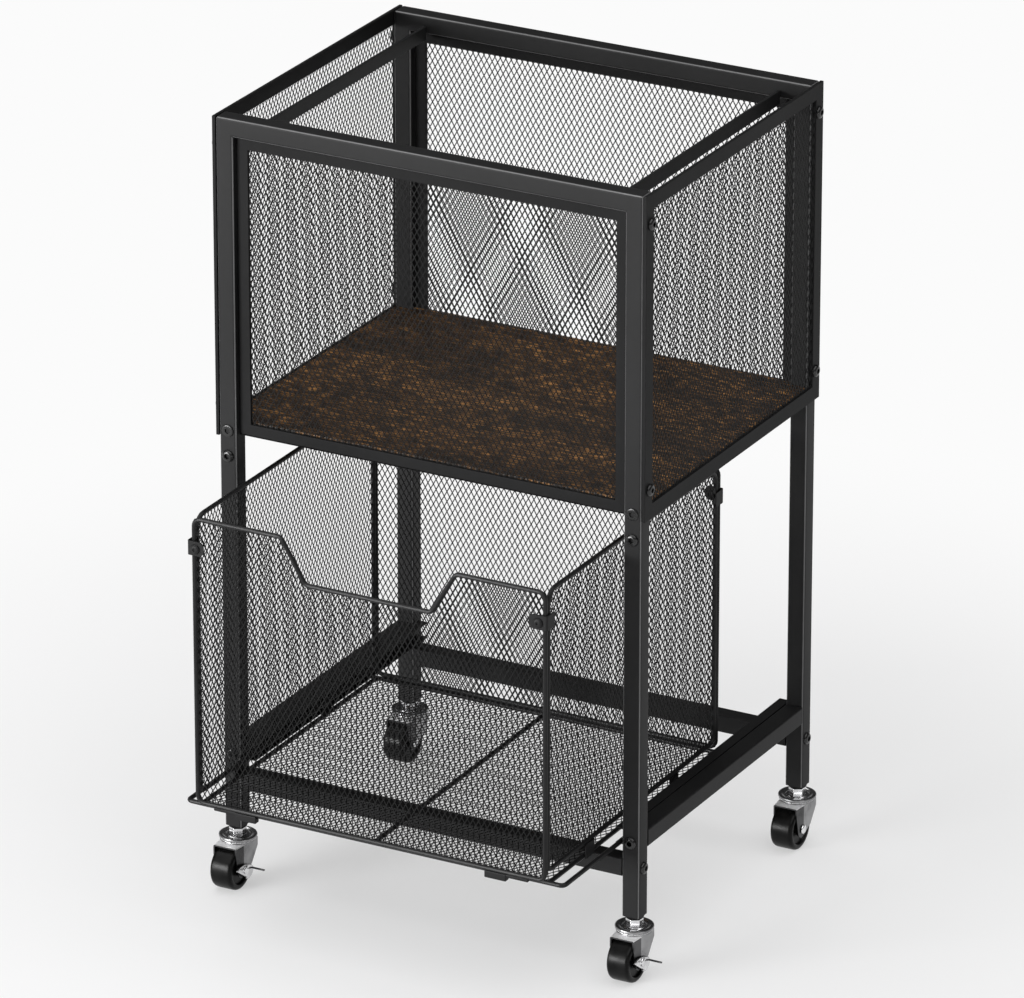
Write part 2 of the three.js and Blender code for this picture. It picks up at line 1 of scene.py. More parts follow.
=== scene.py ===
import math
import bpy
import bmesh
from mathutils import Matrix, Vector


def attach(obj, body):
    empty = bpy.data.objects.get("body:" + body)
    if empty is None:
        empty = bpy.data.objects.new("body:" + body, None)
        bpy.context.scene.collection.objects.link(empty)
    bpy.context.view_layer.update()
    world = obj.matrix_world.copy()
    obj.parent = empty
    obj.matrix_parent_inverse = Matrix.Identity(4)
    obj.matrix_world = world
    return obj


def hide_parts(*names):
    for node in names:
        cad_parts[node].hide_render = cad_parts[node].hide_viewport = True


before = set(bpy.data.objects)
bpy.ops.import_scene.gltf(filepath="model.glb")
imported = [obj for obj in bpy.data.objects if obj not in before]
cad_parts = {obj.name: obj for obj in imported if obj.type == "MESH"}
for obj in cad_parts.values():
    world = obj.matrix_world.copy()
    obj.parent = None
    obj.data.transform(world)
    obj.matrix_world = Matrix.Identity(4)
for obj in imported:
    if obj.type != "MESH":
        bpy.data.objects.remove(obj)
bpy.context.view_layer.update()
print("frame loaded with", len(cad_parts), "nodes")

scene = bpy.context.scene
scene.view_settings.view_transform = "Standard"
metre = 0.001  # pieces are drawn in millimetres and scaled once
upright = (0, 0, 1)


# one socket, so that shader maths reads as arithmetic
class Signal:
    def __init__(self, finish, socket):
        self.finish = finish
        self.socket = socket

    def maths(self, operation, first, second):
        return self.finish.node("ShaderNodeMath", {"operation": operation}, {0: first, 1: second})

    def __add__(self, other):
        return self.maths("ADD", self, other)

    def __sub__(self, other):
        return self.maths("SUBTRACT", self, other)

    def __rsub__(self, other):
        return self.maths("SUBTRACT", other, self)

    def __mul__(self, other):
        return self.maths("MULTIPLY", self, other)

    __radd__ = __add__
    __rmul__ = __mul__


class Finish:
    def __init__(self, name):
        self.material = bpy.data.materials.new(name)
        self.material.use_nodes = True
        self.tree = self.material.node_tree
        self.shader = self.tree.nodes["Principled BSDF"]
        self.place = self.node("ShaderNodeTexCoord", {}, {}, "Object")

    def feed(self, socket, value):
        if isinstance(value, Signal):
            self.tree.links.new(value.socket, socket)
        else:
            socket.default_value = value

    def node(self, kind, settings, inputs, output=0):
        made = self.tree.nodes.new(kind)
        for key, value in settings.items():
            if key == "stops":
                ramp = made.color_ramp
                ramp.elements[0].position = value[0][0]
                ramp.elements[-1].position = value[-1][0]
                for position, _ in value[1:-1]:
                    ramp.elements.new(position)
                for element, (_, colour) in zip(ramp.elements, value):
                    element.color = (*colour, 1)
            else:
                setattr(made, key, value)
        for key, value in inputs.items():
            self.feed(made.inputs[key], value)
        return Signal(self, made.outputs[output])

    def noise(self, scale, detail=3, stretch=(1, 1, 1), shift=(0, 0, 0)):
        spot = self.node("ShaderNodeMapping", {}, {"Vector": self.place, "Location": shift, "Scale": stretch})
        return self.node("ShaderNodeTexNoise", {}, {"Vector": spot, "Scale": scale, "Detail": detail}, "Fac")

    def ramp(self, value, stops):
        return self.node("ShaderNodeValToRGB", {"stops": stops}, {"Fac": value}, "Color")

    def blend(self, factor, first, second):
        return self.node("ShaderNodeMix", {"data_type": "RGBA"}, {0: factor, 6: first, 7: second}, 2)

    def relief(self, height, depth, strength=0.6):
        return self.node("ShaderNodeBump", {}, {"Height": height, "Distance": depth, "Strength": strength})

    def set(self, values):
        for key, value in values.items():
            self.feed(self.shader.inputs[key], value)


# satin black powder coat: a fine orange peel over a slow change of tone; a lighter copy is a painted
# highlight on the edges
coatGrain = {"cloud": 9, "grit": 160, "gritShift": (3, 1, 7), "tones": (0.3, 0.7),
             "cloudRough": 0.14, "peelRough": 0.1}
coatLook = {"dark": (0.008, 0.008, 0.0082), "light": (0.013, 0.013, 0.0133), "roughness": 0.5,
            "peel": 950, "depth": 0.00006, "specular": 0.17}
panelLook = {"dark": (0.006, 0.006, 0.0062), "light": (0.0105, 0.0105, 0.0107), "roughness": 0.55,
             "peel": 900, "depth": 0.00006, "specular": 0.1}
# painted highlight: a lighter, glossier copy of the coat for the crowns of the rounded edges
highlightEdgeLook = {"dark": (0.07, 0.07, 0.071), "light": (0.12, 0.12, 0.121), "roughness": 0.32,
            "peel": 600, "depth": 0.00003, "specular": 0.5}
wireLook = {"dark": (0.008, 0.008, 0.0083), "light": (0.014, 0.014, 0.0143), "roughness": 0.4,
            "peel": 700, "depth": 0.00004, "specular": 0.16}
strandLook = {"dark": (0.0035, 0.0035, 0.0036), "light": (0.006, 0.006, 0.0062), "roughness": 0.5,
              "peel": 800, "depth": 0.00005, "specular": 0.11}


def powderCoat(name, look):
    finish = Finish(name)
    cloud = finish.noise(coatGrain["cloud"], 4)
    peel = finish.noise(look["peel"], 2)
    grit = finish.noise(coatGrain["grit"], 5, shift=coatGrain["gritShift"])
    darkAt, lightAt = coatGrain["tones"]
    tone = finish.ramp(cloud * 0.7 + grit * 0.3, [(darkAt, look["dark"]), (lightAt, look["light"])])
    unevenness = (cloud - 0.5) * coatGrain["cloudRough"] + (peel - 0.5) * coatGrain["peelRough"]
    finish.set({
        "Base Color": tone,
        "Roughness": look["roughness"] + unevenness,
        "Normal": finish.relief(peel * 0.7 + grit * 0.3, look["depth"]),
        "Specular IOR Level": look["specular"],
    })
    return finish


# rustic board: dark brown with orange streaks, printed grain under a thin satin film
woodLook = {
    "patch": {"scale": 4.2, "detail": 4, "stretch": (1.6, 7, 7), "shift": (0.4, 0.1, 0)},
    "grain": {"scale": 4.5, "detail": 6, "stretch": (3.2, 46, 46)},
    "streak": {"scale": 3.6, "detail": 5, "stretch": (20, 140, 140), "shift": (2, 5, 1)},
    "fibre": {"scale": 12, "detail": 3, "stretch": (4, 210, 210)},
    "browns": [(0.34, (0.0045, 0.003, 0.0023)), (0.5, (0.013, 0.007, 0.004)),
               (0.6, (0.036, 0.018, 0.0075)), (0.72, (0.085, 0.04, 0.0145))],
    "streakFade": [(0.52, (0, 0, 0)), (0.61, (0.5, 0.5, 0.5)), (0.69, (1, 1, 1))],
    "patchFade": [(0.4, (0.3, 0.3, 0.3)), (0.58, (1, 1, 1))],
    "orange": (0.64, 0.3, 0.085, 1), "roughness": 0.52, "depth": 0.00012, "specular": 0.4,
}


def rusticWood(name, look):
    finish = Finish(name)
    layers = ("patch", "grain", "streak", "fibre")
    patch, grain, streak, fibre = [finish.noise(**look[layer]) for layer in layers]
    base = finish.ramp(grain * 0.6 + patch * 0.4, look["browns"])
    glow = finish.ramp(streak, look["streakFade"])
    where = finish.ramp(patch, look["patchFade"])
    finish.set({
        "Base Color": finish.blend(glow * where, base, look["orange"]),
        "Roughness": look["roughness"] + (grain - 0.5) * 0.2 + (fibre - 0.5) * 0.12,
        "Normal": finish.relief(grain * 0.6 + fibre * 0.4, look["depth"], strength=0.5),
        "Specular IOR Level": look["specular"],
    })
    return finish


# plating with faint brushing and dull spots, bright on stem, axle and lever; copies of it by facing are
# painted light and shade:
# a painted highlight on the fork's roof, grey painted shade on its cheeks, the race's rim and the lever's
# tail, dark painted shade at its front
platingGrain = {"cloud": 70, "brush": 60, "brushStretch": (30, 30, 1), "brushDepth": 0.00002}
platingLook = {"bright": (0.88, 0.88, 0.89), "dull": (0.66, 0.66, 0.67), "roughness": 0.2, "metal": 1}
# painted highlight: a pale, half-metal copy of the plating for the fork's roof and upward faces
roofHighlightLook = {"bright": (0.93, 0.93, 0.935), "dull": (0.8, 0.8, 0.805), "roughness": 0.4, "metal": 0.35}
# painted shade: a grey copy of the plating for the fork's cheeks, the race's rim and the lever's tail
cheekShadeLook = {"bright": (0.34, 0.34, 0.345), "dull": (0.22, 0.22, 0.225), "roughness": 0.3, "metal": 1}
# painted shade: a dark copy of the plating for the fork's front and the outer face of the lever's tail
frontShadeLook = {"bright": (0.1, 0.1, 0.102), "dull": (0.06, 0.06, 0.062), "roughness": 0.3, "metal": 1}


def plating(name, look):
    finish = Finish(name)
    cloud = finish.noise(platingGrain["cloud"], 4)
    brushed = finish.noise(platingGrain["brush"], 3, platingGrain["brushStretch"])
    finish.set({
        "Base Color": finish.ramp(cloud, [(0.35, look["dull"]), (0.6, look["bright"])]),
        "Metallic": look["metal"],
        "Roughness": look["roughness"] + (cloud - 0.5) * 0.16 + (brushed - 0.5) * 0.1,
        "Normal": finish.relief(brushed, platingGrain["brushDepth"], strength=0.3),
    })
    return finish


# black oxide on the bolts: a smooth dark skin with lighter clouds
oxideLook = {"dark": (0.004, 0.004, 0.0042), "light": (0.011, 0.011, 0.0112), "roughness": 0.27,
             "cloud": 260, "turning": 900, "depth": 0.00003}


def blackOxide(name, look):
    finish = Finish(name)
    cloud = finish.noise(look["cloud"], 4)
    turning = finish.noise(look["turning"], 2)
    finish.set({
        "Base Color": finish.ramp(cloud, [(0.35, look["dark"]), (0.7, look["light"])]),
        "Roughness": look["roughness"] + (turning - 0.5) * 0.16 + (cloud - 0.5) * 0.1,
        "Normal": finish.relief(turning, look["depth"], strength=0.4),
    })
    return finish


# moulded nylon of the wheels, with scuffs and dust
nylonLook = {"dark": (0.002, 0.002, 0.002), "dust": (0.006, 0.0058, 0.0056), "roughness": 0.32,
             "scuff": 120, "grit": 1400, "depth": 0.00004, "specular": 0.14}


def nylon(name, look):
    finish = Finish(name)
    scuff = finish.noise(look["scuff"], 6)
    grit = finish.noise(look["grit"], 2)
    finish.set({
        "Base Color": finish.ramp(scuff, [(0.45, look["dark"]), (0.8, look["dust"])]),
        "Roughness": look["roughness"] + (scuff - 0.5) * 0.3 + (grit - 0.5) * 0.08,
        "Normal": finish.relief(scuff * 0.5 + grit * 0.5, look["depth"], strength=0.5),
        "Specular IOR Level": look["specular"],
    })
    return finish


coat = powderCoat("satinBlackCoat", coatLook)
panelCoat = powderCoat("panelBlackCoat", panelLook)
# painted highlight along the rounded edges of hoops and legs
highlightEdgeCoat = powderCoat("paintedEdgeHighlightCoat", highlightEdgeLook)
wireCoat = powderCoat("wireBlackCoat", wireLook)
strandCoat = powderCoat("meshBlackCoat", strandLook)
wood = rusticWood("rusticBoard", woodLook)
chrome = plating("brightPlating", platingLook)
# lit and shaded copies of the plating: painted highlight on the fork's roof, painted shade on its cheeks and
# front
forkRoofHighlight = plating("forkRoofPaintedHighlight", roofHighlightLook)
forkCheekShade = plating("forkCheekPaintedShade", cheekShadeLook)
forkFrontShade = plating("forkFrontPaintedShade", frontShadeLook)
oxide = blackOxide("blackOxide", oxideLook)
wheelNylon = nylon("wheelNylon", nylonLook)
print("finishes ready")


def roundOff(bm, edges, width, steps=2):
    bmesh.ops.bevel(bm, geom=edges, offset=width, offset_type="OFFSET", affect="EDGES", segments=steps,
                    profile=0.5, material=-1, clamp_overlap=True)


def edgesOf(verts):
    return list({edge for vert in verts for edge in vert.link_edges})


def vertsIn(items):
    return [item for item in items if isinstance(item, bmesh.types.BMVert)]


def edgesIn(items):
    return [item for item in items if isinstance(item, bmesh.types.BMEdge)]


# the turn that lays an upright thing along a direction
def layAlong(direction):
    return Vector(upright).rotation_difference(Vector(direction)).to_matrix().to_4x4()


# cut off what lies beyond a plane
def trim(bm, point, normal):
    bmesh.ops.bisect_plane(bm, geom=bm.verts[:] + bm.edges[:] + bm.faces[:], plane_co=point, plane_no=normal,
                           clear_outer=True)


def creases(edges, least=0.5):
    return [edge for edge in edges if len(edge.link_faces) == 2 and edge.calc_face_angle(0) > least]


def along(edges, axis, straight=0.99):
    kept = []
    for edge in edges:
        run = edge.verts[1].co - edge.verts[0].co
        if abs(run[axis]) > straight * run.length:
            kept.append(edge)
    return kept


# a block from low to high on each axis; only edges along the given axis are rounded if one is named
def block(bm, x, y, z, edge=0, axis=None, steps=2):
    verts = bmesh.ops.create_cube(bm, size=1)["verts"]
    bmesh.ops.scale(bm, vec=(x[1] - x[0], y[1] - y[0], z[1] - z[0]), verts=verts)
    bmesh.ops.translate(bm, vec=((x[0] + x[1]) / 2, (y[0] + y[1]) / 2, (z[0] + z[1]) / 2), verts=verts)
    if edge:
        edges = edgesOf(verts)
        roundOff(bm, edges if axis is None else along(edges, axis), edge, steps)


# an outline of points pushed out into a plate
def plate(bm, corners, push):
    face = bm.faces.new([bm.verts.new(point) for point in corners])
    moved = vertsIn(bmesh.ops.extrude_face_region(bm, geom=[face])["geom"])
    bmesh.ops.translate(bm, vec=push, verts=moved)
    verts = list(face.verts) + moved
    bmesh.ops.recalc_face_normals(bm, faces=list({side for vert in verts for side in vert.link_faces}))
    return verts


# a flat frame: the outline's inside is cut away at the given width
def flatRing(bm, corners, width, push, edge):
    face = bm.faces.new([bm.verts.new(point) for point in corners])
    face.normal_update()
    ring = bmesh.ops.inset_region(bm, faces=[face], thickness=width, use_even_offset=True,
                                  use_boundary=True)["faces"]
    bmesh.ops.delete(bm, geom=[face], context="FACES")
    verts = list({vert for side in ring for vert in side.verts})
    moved = vertsIn(bmesh.ops.extrude_face_region(bm, geom=ring)["geom"])
    bmesh.ops.translate(bm, vec=push, verts=moved)
    bmesh.ops.recalc_face_normals(bm, faces=bm.faces[:])
    roundOff(bm, creases(edgesOf(verts + moved)), edge)


# a profile of (radius, height) turned once round an axis
def turned(bm, profile, centre, axis, steps=24):
    seat = Matrix.Translation(centre) @ layAlong(axis)
    verts = [bm.verts.new(seat @ Vector((radius, 0, height))) for radius, height in profile]
    edges = [bm.edges.new(pair) for pair in zip(verts, verts[1:])]
    bmesh.ops.spin(bm, geom=verts + edges, cent=centre, axis=axis, dvec=(0, 0, 0), angle=2 * math.pi,
                   steps=steps, use_merge=True)
    return seat


# round wire bent at each corner of a path, as on a wire former
def bendWire(bm, corners, bends, gauge, closed=True, facets=10, steps=5):
    points = [Vector(corner) for corner in corners]
    start = (points[-1] + points[0]) / 2 if closed else points[0]
    path = points if closed else points[1:]
    here = start.copy()
    heading = (path[0] - here).normalized()
    seat = Matrix.Translation(here) @ layAlong(heading)
    ring = edgesOf(bmesh.ops.create_circle(bm, cap_ends=not closed, segments=facets, radius=gauge / 2,
                                           matrix=seat)["verts"])
    for index, corner in enumerate(path):
        last = not closed and index == len(path) - 1
        leave = None if last else (path[(index + 1) % len(path)] - corner).normalized()
        angle = 0 if last else heading.angle(leave)
        reach = 0 if last else bends[index] * math.tan(angle / 2)
        stop = corner - heading * reach
        ring = runOn(bm, ring, stop - here)
        here = stop
        if last:
            bmesh.ops.contextual_create(bm, geom=ring)
            return
        axis = heading.cross(leave).normalized()
        hub = here + axis.cross(heading) * bends[index]
        swept = bmesh.ops.spin(bm, geom=ring, cent=hub, axis=axis, dvec=(0, 0, 0), angle=angle, steps=steps)
        ring = edgesIn(swept["geom_last"])
        here = corner + leave * reach
        heading = leave
    runOn(bm, ring, start - here)


# edges drawn on by a step, and the new edges at its end
def runOn(bm, ring, step):
    grown = bmesh.ops.extrude_edge_only(bm, edges=ring)["geom"]
    bmesh.ops.translate(bm, vec=step, verts=vertsIn(grown))
    return edgesIn(grown)


# expanded steel: upright diamonds, each cell opened and the strands given thickness
meshLook = {"cell": (5.2, 9.1), "strand": 0.8, "thick": 0.4, "sliver": 0.12,
            "spare": 4, "notchBelow": 5, "notchBeside": 3}


def diamondSheet(low, high, trims=(), notch=None):
    bm = bmesh.new()
    cellX, cellY = meshLook["cell"]
    count = int((high[0] - low[0]) / cellX + (high[1] - low[1]) / cellY) + meshLook["spare"]
    verts = bmesh.ops.create_grid(bm, x_segments=count, y_segments=count, size=count / 2)["verts"]
    bmesh.ops.rotate(bm, verts=verts, cent=(0, 0, 0), matrix=Matrix.Rotation(math.radians(45), 3, "Z"))
    bmesh.ops.scale(bm, vec=(cellX / math.sqrt(2), cellY / math.sqrt(2), 1), verts=verts)
    bmesh.ops.translate(bm, vec=((low[0] + high[0]) / 2, (low[1] + high[1]) / 2, 0), verts=verts)
    cuts = [((low[0], 0, 0), (-1, 0, 0)), ((high[0], 0, 0), (1, 0, 0)),
            ((0, low[1], 0), (0, -1, 0)), ((0, high[1], 0), (0, 1, 0))]
    for point, normal in cuts + list(trims):
        trim(bm, point, normal)
    if notch:
        openNotch(bm, *notch)
    least = meshLook["sliver"] * cellX * cellY / 2
    bmesh.ops.delete(bm, geom=[face for face in bm.faces if face.calc_area() < least], context="FACES")
    cells = bm.faces[:]
    bmesh.ops.inset_individual(bm, faces=cells, thickness=meshLook["strand"] / 2, use_even_offset=True)
    bmesh.ops.delete(bm, geom=cells, context="FACES")
    bmesh.ops.recalc_face_normals(bm, faces=bm.faces[:])
    bmesh.ops.solidify(bm, geom=bm.faces[:], thickness=meshLook["thick"])
    middle = sum(vert.co.z for vert in bm.verts) / len(bm.verts)
    bmesh.ops.translate(bm, vec=(0, 0, -middle), verts=bm.verts)
    for face in bm.faces:
        face.material_index = 1
    return bm


# the hand notch: cells are cut along its three sides and the inside is dropped
def openNotch(bm, topHalf, floorHalf, top, floor):
    slope = (topHalf - floorHalf) / (top - floor)
    below, beside = meshLook["notchBelow"], meshLook["notchBeside"]
    for point, normal in [((floorHalf, floor, 0), (1, -slope, 0)), ((-floorHalf, floor, 0), (-1, -slope, 0)),
                          ((0, floor, 0), (0, 1, 0))]:
        near = []
        for face in bm.faces:
            spot = face.calc_center_median()
            wide = floorHalf + max(spot.y - floor, 0) * slope + beside
            if spot.y > floor - below and abs(spot.x) < wide:
                near.append(face)
        edges = list({edge for face in near for edge in face.edges})
        verts = list({vert for face in near for vert in face.verts})
        bmesh.ops.bisect_plane(bm, geom=verts + edges + near, plane_co=point, plane_no=normal)
    inside = []
    for face in bm.faces:
        spot = face.calc_center_median()
        if spot.y > floor and abs(spot.x) < floorHalf + (spot.y - floor) * slope:
            inside.append(face)
    bmesh.ops.delete(bm, geom=inside, context="FACES")


# painted highlight: the crown of each rounded edge takes the second finish, a lighter copy of the coat
def paintEdgeHighlights(bm, slant=0.6):
    for face in bm.faces:
        if sorted(abs(part) for part in face.normal)[1] > slant:
            face.material_index = 1


standUp = Matrix.Rotation(math.radians(90), 4, "X")  # drawn across and up, facing front
standSide = Matrix.Rotation(math.radians(90), 4, "Z") @ standUp  # drawn back and up, facing the side


def addSheet(bm, sheet, turn, move):
    sheet.transform(Matrix.Translation(move) @ turn)
    carrier = bpy.data.meshes.new("sheet")
    sheet.to_mesh(carrier)
    sheet.free()
    bm.from_mesh(carrier)
    bpy.data.meshes.remove(carrier)


# merge, turn the faces outwards, scale to metres and hang the piece on its body
def makePiece(bm, name, body, finishes, nodes=(), flip=None, merge=0.001, smooth=35):
    if flip:
        bmesh.ops.scale(bm, vec=flip, verts=bm.verts)
    bmesh.ops.remove_doubles(bm, verts=bm.verts, dist=merge)
    bmesh.ops.recalc_face_normals(bm, faces=bm.faces[:])
    bmesh.ops.scale(bm, vec=(metre, metre, metre), verts=bm.verts)
    mesh = bpy.data.meshes.new(name)
    bm.to_mesh(mesh)
    bm.free()
    for finish in finishes:
        mesh.materials.append(finish.material)
    mesh.shade_smooth()
    mesh.set_sharp_from_angle(angle=math.radians(smooth))
    piece = bpy.data.objects.new(name, mesh)
    scene.collection.objects.link(piece)
    piece.modifiers.new("evenShading", "WEIGHTED_NORMAL").keep_sharp = True
    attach(piece, body)
    if nodes:
        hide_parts(*nodes)


sides = [("left", -1), ("right", 1)]
ends = [("front", -1), ("rear", 1)]
close = 0.1  # slack where edges and faces are picked by their place

# hoops of square tube, front and rear
hoop = {"half": 196, "inner": 180, "top": 685, "under": 669, "foot": 400, "face": 156, "tube": 16,
        "edge": 2.2}
for end, endSign in ends:
    bm = bmesh.new()
    outer, inner, y = hoop["half"], hoop["inner"], -hoop["face"]
    corners = [(-outer, y, hoop["foot"]), (-inner, y, hoop["foot"]), (-inner, y, hoop["under"]),
               (inner, y, hoop["under"]), (inner, y, hoop["foot"]), (outer, y, hoop["foot"]),
               (outer, y, hoop["top"]), (-outer, y, hoop["top"])]
    verts = plate(bm, corners, (0, hoop["tube"], 0))
    long = [edge for edge in edgesOf(verts) if max(vert.co.z for vert in edge.verts) > hoop["foot"] + close]
    roundOff(bm, long, hoop["edge"], steps=3)
    # painted highlight on the crowns of the rounded edges
    paintEdgeHighlights(bm)
    makePiece(bm, f"{end}Hoop", "frame", [coat, highlightEdgeCoat], [f"{end}_frame"],
              (1, -endSign, 1))
print("hoops done")

# socket heads: profile of (radius, height) from the seat to the lip of the socket, then the socket
raisedHead = {"profile": [(5.3, 0), (5.3, 0.5), (5.15, 1.0), (4.8, 1.55), (4.3, 2.0), (3.7, 2.3), (2.9, 2.5)],
              "socket": 2.5, "deep": 2.2}
flushHead = {"profile": [(5.4, 0), (5.3, 0.5), (4.9, 0.8), (4.2, 0.9), (3.1, 0.85)],
             "socket": 2.6, "deep": 1.8}
smallHead = {"profile": [(4.3, 0), (4.3, 0.6), (4.0, 1.2), (3.3, 1.7), (2.5, 1.95), (1.8, 2.05)],
             "socket": 1.4, "deep": 0.9}


def socketHead(bm, centre, facing, head):
    seat = turned(bm, head["profile"], centre, facing)
    lipRadius, lipHeight = head["profile"][-1]
    back = seat.inverted()
    lip = []
    for edge in bm.edges:
        if edge.is_boundary:
            spots = [back @ vert.co for vert in edge.verts]
            if all(math.hypot(spot.z - lipHeight, spot.xy.length - lipRadius) < close for spot in spots):
                lip.append(edge)
    hexagon = bmesh.ops.create_circle(bm, segments=6, radius=head["socket"],
                                      matrix=seat @ Matrix.Translation((0, 0, lipHeight)))["verts"]
    rim = edgesOf(hexagon)
    bmesh.ops.bridge_loops(bm, edges=lip + rim)
    floor = runOn(bm, rim, Vector(facing) * -head["deep"])
    bmesh.ops.contextual_create(bm, geom=floor)


# legs, with a connector and two bolts in each joint, rail bolts and a collar in each foot
leg = {"x": 188, "y": 148, "half": 8, "foot": 54, "seam": 400, "edge": 2.2,
       "upperBolt": 411.5, "lowerBolt": 389.3, "railBolt": 121, "crossBolt": 97.3, "gap": 0.3}
connector = {"half": 6.5, "low": 377, "high": 423, "edge": 1}
collar = {"profile": [(4.4, 51.7), (6.9, 51.7), (7.7, 52.1), (8, 52.8), (8, 53.7), (4.4, 53.7)]}
for end, endSign in ends:
    for side, sideSign in sides:
        x, y, half = sideSign * leg["x"], endSign * leg["y"], leg["half"]
        bm = bmesh.new()
        block(bm, (x - half, x + half), (y - half, y + half), (leg["foot"], leg["seam"]), leg["edge"],
              axis=2, steps=3)
        # painted highlight on the crowns of the rounded edges
        paintEdgeHighlights(bm)
        makePiece(bm, f"{end}_{side}_legTube", "frame", [coat, highlightEdgeCoat],
                  [f"{end}_{side}_leg"])

        bm = bmesh.new()
        face = endSign * (leg["y"] + half + leg["gap"])
        socketHead(bm, (x, face, leg["upperBolt"]), (0, endSign, 0), flushHead)
        socketHead(bm, (x, face, leg["lowerBolt"]), (0, endSign, 0), raisedHead)
        core = connector["half"]
        block(bm, (x - core, x + core), (y - core, y + core), (connector["low"], connector["high"]),
              connector["edge"])
        makePiece(bm, f"{end}_{side}_jointBolts", "frame", [oxide],
                  [f"{end}_{side}_leg_connector"])

        bm = bmesh.new()
        socketHead(bm, (x, endSign * (leg["y"] + half), leg["railBolt"]), (0, endSign, 0), raisedHead)
        socketHead(bm, (sideSign * (leg["x"] + half), y, leg["crossBolt"]), (sideSign, 0, 0), raisedHead)
        makePiece(bm, f"{end}_{side}_railBolts", "frame", [oxide])

        bm = bmesh.new()
        turned(bm, collar["profile"], (x, y, 0), upright, steps=28)
        makePiece(bm, f"{end}_{side}_footCollar", "frame", [wheelNylon],
                  [f"{end}_{side}_leg_plug"])
print("legs done")

# bin panels of flat steel and mesh: front and rear sit inside the hoops, the sides are bolted on outside
binFront = {"half": 179.7, "bottom": 407.6, "top": 668.7, "face": 150.3, "thick": 3, "border": 10.5,
            "edge": 0.5, "ledge": 15, "ledgeThick": 1.5, "ledgeEdge": 0.3}
for end, endSign in ends:
    bm = bmesh.new()
    half, low, high, y = binFront["half"], binFront["bottom"], binFront["top"], -binFront["face"]
    flatRing(bm, [(-half, y, low), (half, y, low), (half, y, high), (-half, y, high)], binFront["border"],
             (0, binFront["thick"], 0), binFront["edge"])
    block(bm, (-half, half), (y, y + binFront["ledge"]), (low, low + binFront["ledgeThick"]),
          binFront["ledgeEdge"])
    lap = binFront["border"] / 2
    addSheet(bm, diamondSheet((-half + lap, low + lap), (half - lap, high - lap)), standUp,
             (0, y + binFront["thick"] / 2, 0))
    makePiece(bm, f"{end}BinPanel", "frame", [panelCoat, strandCoat],
              [f"{end}_mesh_panel"], (1, -endSign, 1))

binSide = {"inside": 196.3, "thick": 3, "half": 156, "bottom": 406, "top": 685, "border": 13, "edge": 0.35}
for side, sideSign in sides:
    bm = bmesh.new()
    half, low, high, x = binSide["half"], binSide["bottom"], binSide["top"], binSide["inside"]
    flatRing(bm, [(x, -half, low), (x, half, low), (x, half, high), (x, -half, high)], binSide["border"],
             (binSide["thick"], 0, 0), binSide["edge"])
    lap = binSide["border"] / 2
    addSheet(bm, diamondSheet((-half + lap, low + lap), (half - lap, high - lap)), standSide,
             (x + binSide["thick"] / 2, 0, 0))
    makePiece(bm, f"{side}BinPanel", "frame", [panelCoat, strandCoat],
              [f"{side}_side_panel"], (sideSign, 1, 1))
print("bin panels done")

# button heads that hold the side panels
panelBolt = {"face": 199.6, "y": 148, "upper": 660, "lower": 432}
for side, sideSign in sides:
    for end, endSign in ends:
        for level in ("upper", "lower"):
            bm = bmesh.new()
            spot = (sideSign * panelBolt["face"], endSign * panelBolt["y"], panelBolt[level])
            socketHead(bm, spot, (sideSign, 0, 0), raisedHead)
            makePiece(bm, f"{side}_{end}_{level}PanelBolt", "frame", [oxide],
                      [f"{side}_{end}_{level}_bolt"])

# board on the ledges, notched round the posts
shelf = {"x": 195.7, "y": 147, "postX": 179.7, "postY": 139.7, "bottom": 409.4, "thick": 10, "edge": 0.7}
bm = bmesh.new()
x, y, px, py, z = shelf["x"], shelf["y"], shelf["postX"], shelf["postY"], shelf["bottom"]
corners = [(-px, -y, z), (px, -y, z), (px, -py, z), (x, -py, z), (x, py, z), (px, py, z),
           (px, y, z), (-px, y, z), (-px, py, z), (-x, py, z), (-x, -py, z), (-px, -py, z)]
roundOff(bm, creases(edgesOf(plate(bm, corners, (0, 0, shelf["thick"])))), shelf["edge"])
makePiece(bm, "shelfBoard", "frame", [wood], ["shelf_board"])

# flat bars under the rim, from front to rear along both sides
hangBar = {"x": 166, "half": 1.5, "y": 139.7, "low": 664, "high": 676, "edge": 0.5}
for side, sideSign in sides:
    bm = bmesh.new()
    x = sideSign * hangBar["x"]
    block(bm, (x - hangBar["half"], x + hangBar["half"]), (-hangBar["y"], hangBar["y"]),
          (hangBar["low"], hangBar["high"]), hangBar["edge"])
    makePiece(bm, f"{side}HangBar", "frame", [coat], [f"{side}_hang_rail"])

